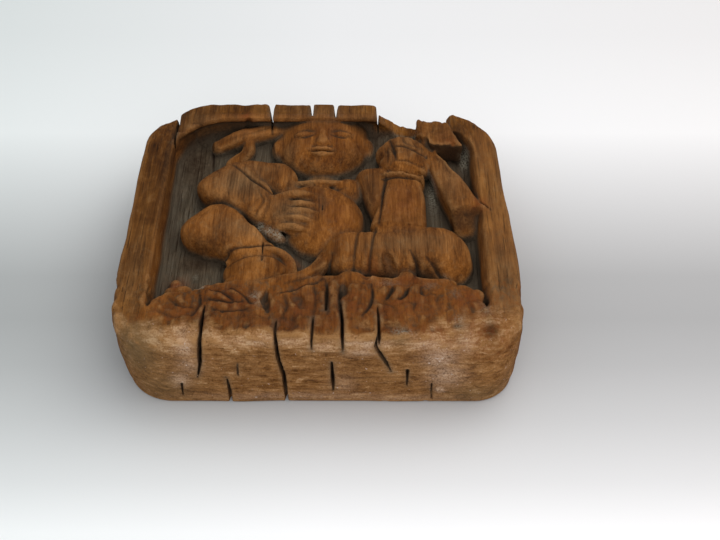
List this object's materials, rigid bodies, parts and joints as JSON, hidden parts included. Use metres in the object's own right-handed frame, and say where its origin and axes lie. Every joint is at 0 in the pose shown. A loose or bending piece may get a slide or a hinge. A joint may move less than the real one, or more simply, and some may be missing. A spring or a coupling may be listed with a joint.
{
  "type": "carved wood relief",
  "caption": "Thick rounded-square wood block with a cross-legged robed figure carved in relief inside a sunk panel; worn, cracked and broken along its far rim.",
  "frame": {"origin": "middle of the bounding box in plan, on the flat back the block lies on", "axes": "+X to the viewer's right across the figure, +Y from the figure's base to its head, +Z out of the carved face"},
  "size_m": [0.24, 0.222, 0.06],
  "materials": {
    "aged_wood": "dry, worn brown hardwood with dark dirt in the hollows and paler end grain on the near face"
  },
  "bodies": {
    "root": {"carved_relief_block": "aged_wood"}
  },
  "joints": []
}
